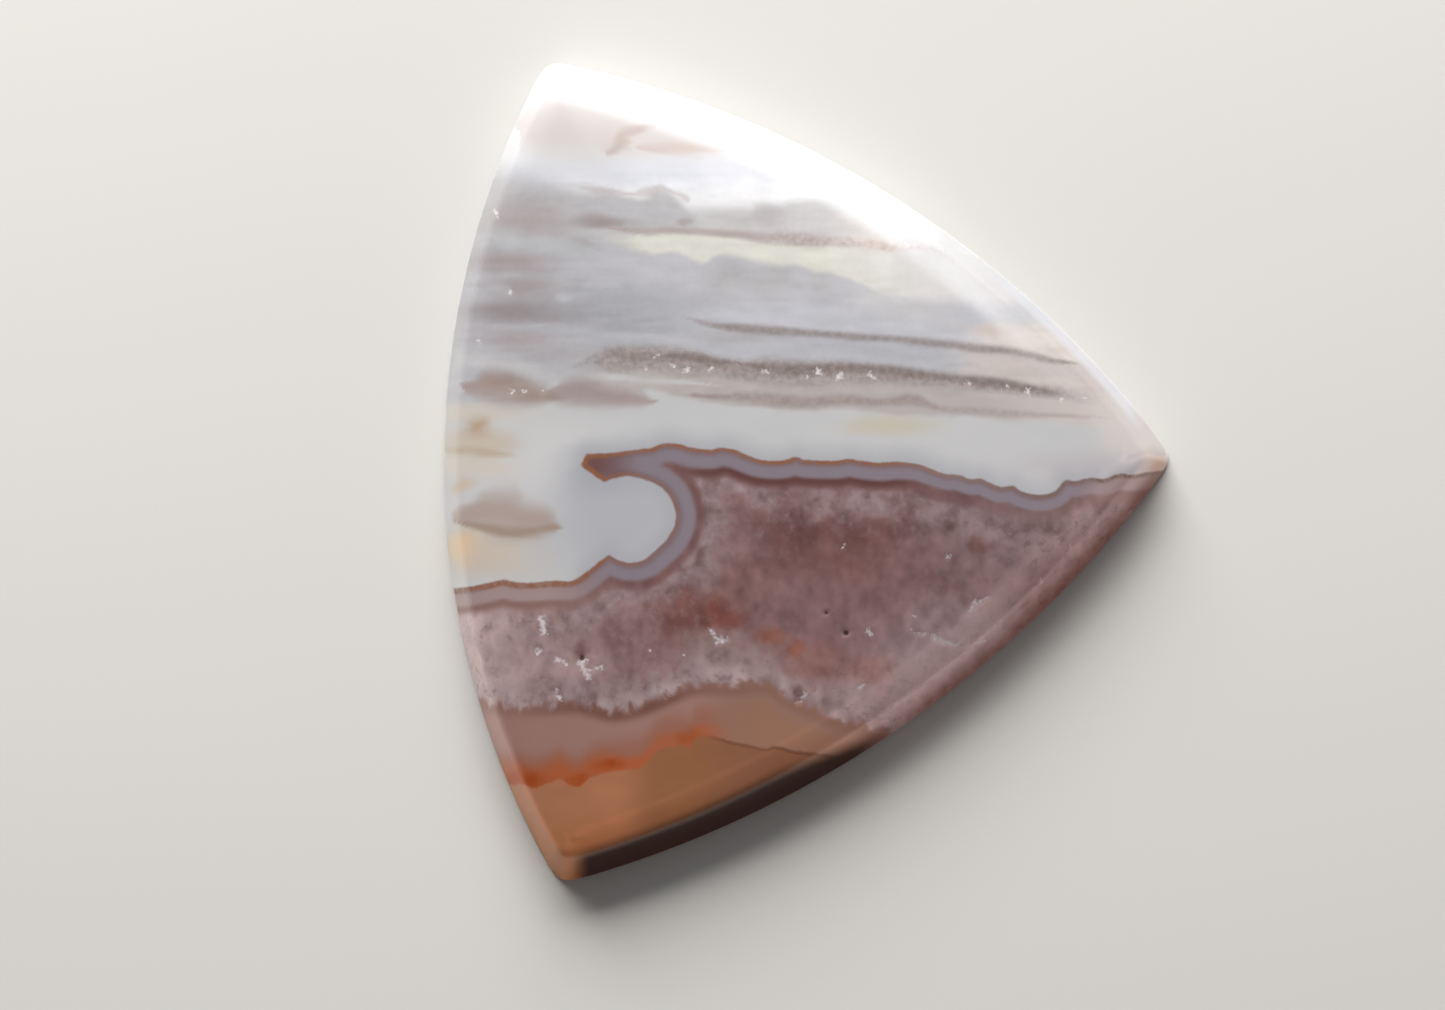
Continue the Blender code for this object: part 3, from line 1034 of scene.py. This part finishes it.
def build_stone():
    points, faces = stone_geometry()
    mesh = bpy.data.meshes.new("stone")
    mesh.from_pydata(points.tolist(), [], faces)
    normals = np.empty(3 * len(points), np.float32)
    mesh.vertices.foreach_get("normal", normals)

    x, y = photo_pixels(points)
    light = light_share(normals.reshape(-1, 3), x)
    edge = white_edge_distance(x, y)
    floor = depth_below(x, y, CRYSTAL_FLOOR)
    ember = -depth_below(x, y, EMBER_LINE)
    white, grain = paint_white_agate(x, y, edge)
    crystal, frost = paint_crystal(x, y, edge, floor, ember)
    below_upper = side_inset(points, UPPER_SIDE)
    above_lower = side_inset(points, LOWER_SIDE)
    paint_rim(white, crystal, below_upper, above_lower, x)

    fields = {
        "white_edge": edge,
        "ember_line": ember,
        "grain": grain,
        "frost": frost,
        "glint": glint_strength(x, y),
        "pit": pit_depth(x, y),
        "shaded_wall": shaded_wall_cover(above_lower, x),
        "edge_line": edge_line_strength(x, y),
        "across": x,
    }
    facets = np.random.default_rng(FACET_SEED).uniform(0, 1, len(points)) * rise(0.2, 0.7, fields["glint"])
    dents = facets * FACET_DEPTH + fields["pit"] * PIT_DEPTH
    points[:, 2] -= np.where(points[:, 2] > WALL_TOP, dents, 0)
    mesh.vertices.foreach_set("co", points.ravel())
    mesh.update()

    for name, values in fields.items():
        add_field(mesh, name, values)
    add_colour(mesh, "white_agate", white, light)
    add_colour(mesh, "crystal", crystal, light)
    add_colour(mesh, "tan", paint_tan(x, y), light)
    mesh.shade_smooth()
    mesh.set_sharp_from_angle(angle=SHARP_ANGLE)
    stone = bpy.data.objects.new("stone", mesh)
    bpy.context.scene.collection.objects.link(stone)
    return stone


class Nodes:
    """Short ways to add and join the nodes of a material or a world."""

    def __init__(self, owner):
        self.tree = owner.node_tree

    def add(self, kind, **settings):
        node = self.tree.nodes.new("ShaderNode" + kind)
        for name, value in settings.items():
            setattr(node, name, value)
        return node

    def put(self, socket, value):
        """Links a socket, or sets it to a number, a vector or a colour made by rgb."""
        if isinstance(value, bpy.types.NodeSocket):
            self.tree.links.new(value, socket)
        elif isinstance(value, np.ndarray):
            socket.default_value = (*value.tolist(), 1.0)
        else:
            socket.default_value = value

    def put_all(self, sockets, values):
        for name, value in values.items():
            self.put(sockets[name], value)

    def number(self, name):
        return self.add("Attribute", attribute_name=name).outputs["Fac"]

    def colour(self, name):
        return self.add("Attribute", attribute_name=name).outputs["Color"]

    def math(self, operation, first, second):
        node = self.add("Math", operation=operation)
        self.put(node.inputs[0], first)
        self.put(node.inputs[1], second)
        return node.outputs[0]

    def times(self, first, second):
        return self.math("MULTIPLY", first, second)

    def rise(self, value, low, high, bottom=0.0, top=1.0):
        node = self.add("MapRange", interpolation_type="SMOOTHSTEP")
        ends = {"From Min": low, "From Max": high, "To Min": bottom, "To Max": top}
        self.put_all(node.inputs, {"Value": value, **ends})
        return node.outputs["Result"]

    def mix(self, factor, first, second, blend="MIX"):
        """Mixes two colours. A Mix node has its sockets for colours in the places 6, 7 and 2."""
        node = self.add("Mix", data_type="RGBA", blend_type=blend)
        self.put(node.inputs[0], factor)
        self.put(node.inputs[6], first)
        self.put(node.inputs[7], second)
        return node.outputs[2]

    def noise(self, place, scale, detail=2.0, roughness=0.5):
        node = self.add("TexNoise")
        values = {"Vector": place, "Scale": scale, "Detail": detail, "Roughness": roughness}
        self.put_all(node.inputs, values)
        return node.outputs["Fac"]


def place_in_mm(nodes):
    """A spot's place in the stone, in millimetres."""
    scaled = nodes.add("VectorMath", operation="SCALE")
    nodes.put(scaled.inputs[0], nodes.add("TexCoord").outputs["Object"])
    nodes.put(scaled.inputs["Scale"], 1 / MM)
    return scaled.outputs[0]


def agate_colour(nodes, place, grain, frost, fuzz):
    """The painted colours, joined at the white's edge and the ember line, with noise, lines and specks."""
    speckle = nodes.noise(place, SPECKLE_SCALE, roughness=0.6)
    wobble = nodes.math("SUBTRACT", nodes.noise(place, WOBBLE_SCALE), 0.5)
    across = nodes.number("across")

    grained = nodes.mix(grain, (1, 1, 1, 1), nodes.rise(speckle, 0.32, 0.68, 0.86, 1.14))
    white = nodes.mix(1.0, nodes.colour("white_agate"), grained, "MULTIPLY")
    frosting = nodes.times(frost, nodes.rise(fuzz, 0.48, 0.74, 0.0, 0.55))
    crystal = nodes.mix(frosting, nodes.colour("crystal"), FROSTING)
    gloom = nodes.times(frost, nodes.rise(fuzz, 0.28, 0.50, 0.5, 0.0))
    crystal = nodes.mix(gloom, crystal, GLOOM)

    ember = nodes.math("ADD", nodes.number("ember_line"), nodes.times(wobble, 5.0))
    below = nodes.mix(nodes.rise(ember, -1.6, 1.6), nodes.colour("tan"), crystal)
    seam = nodes.math("SUBTRACT", nodes.rise(ember, -2.6, -0.2), nodes.rise(ember, 0.4, 3.0))
    seam = nodes.times(seam, nodes.rise(across, *SEAM_START, 0.0, 0.5))
    below = nodes.mix(seam, below, SEAM_BROWN)

    edge = nodes.math("ADD", nodes.number("white_edge"), nodes.times(wobble, 2.0))
    body = nodes.mix(nodes.rise(edge, -2.0, 0.4), white, below)
    foot = nodes.math("SUBTRACT", edge, nodes.rise(across, *LINE_SLIMS, 2.2, 0.0))
    line = nodes.math("SUBTRACT", nodes.rise(edge, -2.8, 0.2), nodes.rise(foot, 0.8, 4.6))
    line = nodes.times(line, nodes.number("edge_line"))
    fiery = nodes.math("SUBTRACT", 1.0, nodes.rise(across, *LINE_COOLS))
    line_colour = nodes.mix(fiery, PALE_LINE, FIERY_LINE)
    body = nodes.mix(nodes.times(line, nodes.rise(speckle, 0.35, 0.6, 0.45, 0.85)), body, line_colour)
    # Painted shade: the lower wall below the tan corner is laid dark
    body = nodes.mix(nodes.number("shaded_wall"), body, SHADED_WALL)

    # Painted glints: white specks where crystal faces catch the light, scattered by noise
    glint = nodes.number("glint")
    sparkle = nodes.times(nodes.math("SUBTRACT", nodes.noise(place, SPARKLE_SCALE), 0.5), 2.2)
    speck = nodes.rise(nodes.math("ADD", glint, sparkle), 0.3, 1.1, 0.0, 0.8)
    body = nodes.mix(nodes.times(speck, nodes.rise(glint, 0.0, 0.3)), body, GLINT_WHITE)
    return nodes.mix(nodes.rise(nodes.number("pit"), 0.1, 0.6), body, PIT_BROWN)


def new_material(name):
    """A material, its nodes, and the inputs of its shader."""
    material = bpy.data.materials.new(name)
    material.use_nodes = True
    return material, Nodes(material), material.node_tree.nodes["Principled BSDF"].inputs


def agate_material():
    material, nodes, inputs = new_material("polished_agate")
    place = place_in_mm(nodes)
    grain = nodes.number("grain")
    frost = nodes.number("frost")
    fuzz = nodes.noise(place, FUZZ_SCALE, 3.0, 0.6)

    coarse = nodes.times(grain, nodes.noise(place, GRAIN_SCALE, roughness=0.6))
    frosty = nodes.times(nodes.times(frost, fuzz), 0.4)
    bump = nodes.add("Bump")
    nodes.put(bump.inputs["Distance"], GRAIN_RELIEF)
    nodes.put(bump.inputs["Height"], nodes.math("ADD", coarse, frosty))
    nodes.put_all(inputs, {
        "Base Color": agate_colour(nodes, place, grain, frost, fuzz),
        "Roughness": nodes.rise(grain, 0.0, 1.0, SMOOTH_ROUGHNESS, GRAINY_ROUGHNESS),
        "Normal": bump.outputs["Normal"],
        "IOR": STONE_IOR,
        "Subsurface Weight": SCATTER_WEIGHT,
        "Subsurface Radius": SCATTER_SHARES,
        "Subsurface Scale": SCATTER_DEPTH,
    })
    return material


# Table and light: sizes in metres, angles in degrees

TABLE_SIZE = 1.2
TABLE_LOOK = {"Base Color": (0.70, 0.688, 0.664, 1), "Roughness": 0.9, "Specular IOR Level": 0.1}
ROOM_COLOUR = (0.97, 0.98, 1.0, 1)
ROOM_RADIANCE = 0.10

# The room's broad glow: how bright, where, and how far out it stays full and ends
GLOW_RADIANCE = 0.9
GLOW_AZIMUTH = 70
GLOW_ELEVATION = 34
GLOW_CORE = 6
GLOW_REACH = 26

# Softboxes: azimuth, elevation, distance, width, height, radiance and colour
WINDOW = (WINDOW_AZIMUTH, WINDOW_ELEVATION, 0.36, 0.36, 0.17, 16.4, (1.0, 0.985, 0.96))
REFLECTOR = (-45, 6, 0.30, 0.30, 0.05, 5.8, (1.0, 0.82, 0.75))


def add_table():
    bpy.ops.mesh.primitive_plane_add(size=TABLE_SIZE, location=(0, 0, 0))
    table = bpy.context.object
    table.name = "table"
    material, nodes, inputs = new_material("table")
    nodes.put_all(inputs, TABLE_LOOK)
    table.data.materials.append(material)


def add_softbox(name, azimuth, elevation, distance, width, height, radiance, colour):
    """A rectangular lamp that faces the stone. Radiance is how bright its face looks."""
    data = bpy.data.lights.new(name, "AREA")
    data.shape = "RECTANGLE"
    data.size = width
    data.size_y = height
    data.color = colour
    data.energy = radiance * math.pi * width * height
    lamp = bpy.data.objects.new(name, data)
    bpy.context.scene.collection.objects.link(lamp)
    back = direction(azimuth, elevation)
    lamp.location = back * distance
    lamp.rotation_mode = "QUATERNION"
    lamp.rotation_quaternion = (-back).to_track_quat("-Z", "Y")
    return lamp


def add_light():
    """Even light, a broad glow, a low window beyond the stone's top, and a reflector on the other side."""
    world = bpy.data.worlds.new("room")
    bpy.context.scene.world = world
    world.use_nodes = True
    nodes = Nodes(world)
    toward = nodes.add("VectorMath", operation="DOT_PRODUCT")
    nodes.put(toward.inputs[0], nodes.add("TexCoord").outputs["Generated"])
    toward.inputs[1].default_value = direction(GLOW_AZIMUTH, GLOW_ELEVATION)
    dim_at = math.cos(math.radians(GLOW_REACH))
    full_at = math.cos(math.radians(GLOW_CORE))
    glow = nodes.rise(toward.outputs["Value"], dim_at, full_at, ROOM_RADIANCE, GLOW_RADIANCE)
    background = world.node_tree.nodes["Background"]
    background.inputs["Color"].default_value = ROOM_COLOUR
    nodes.put(background.inputs["Strength"], glow)
    add_softbox("window", *WINDOW)
    reflector = add_softbox("reflector", *REFLECTOR)
    reflector.visible_glossy = False
    bpy.context.scene.view_settings.view_transform = "Standard"


add_camera()
add_table()
add_light()
stone = build_stone()
stone.data.materials.append(agate_material())
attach(stone, "root")
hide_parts(NODE)
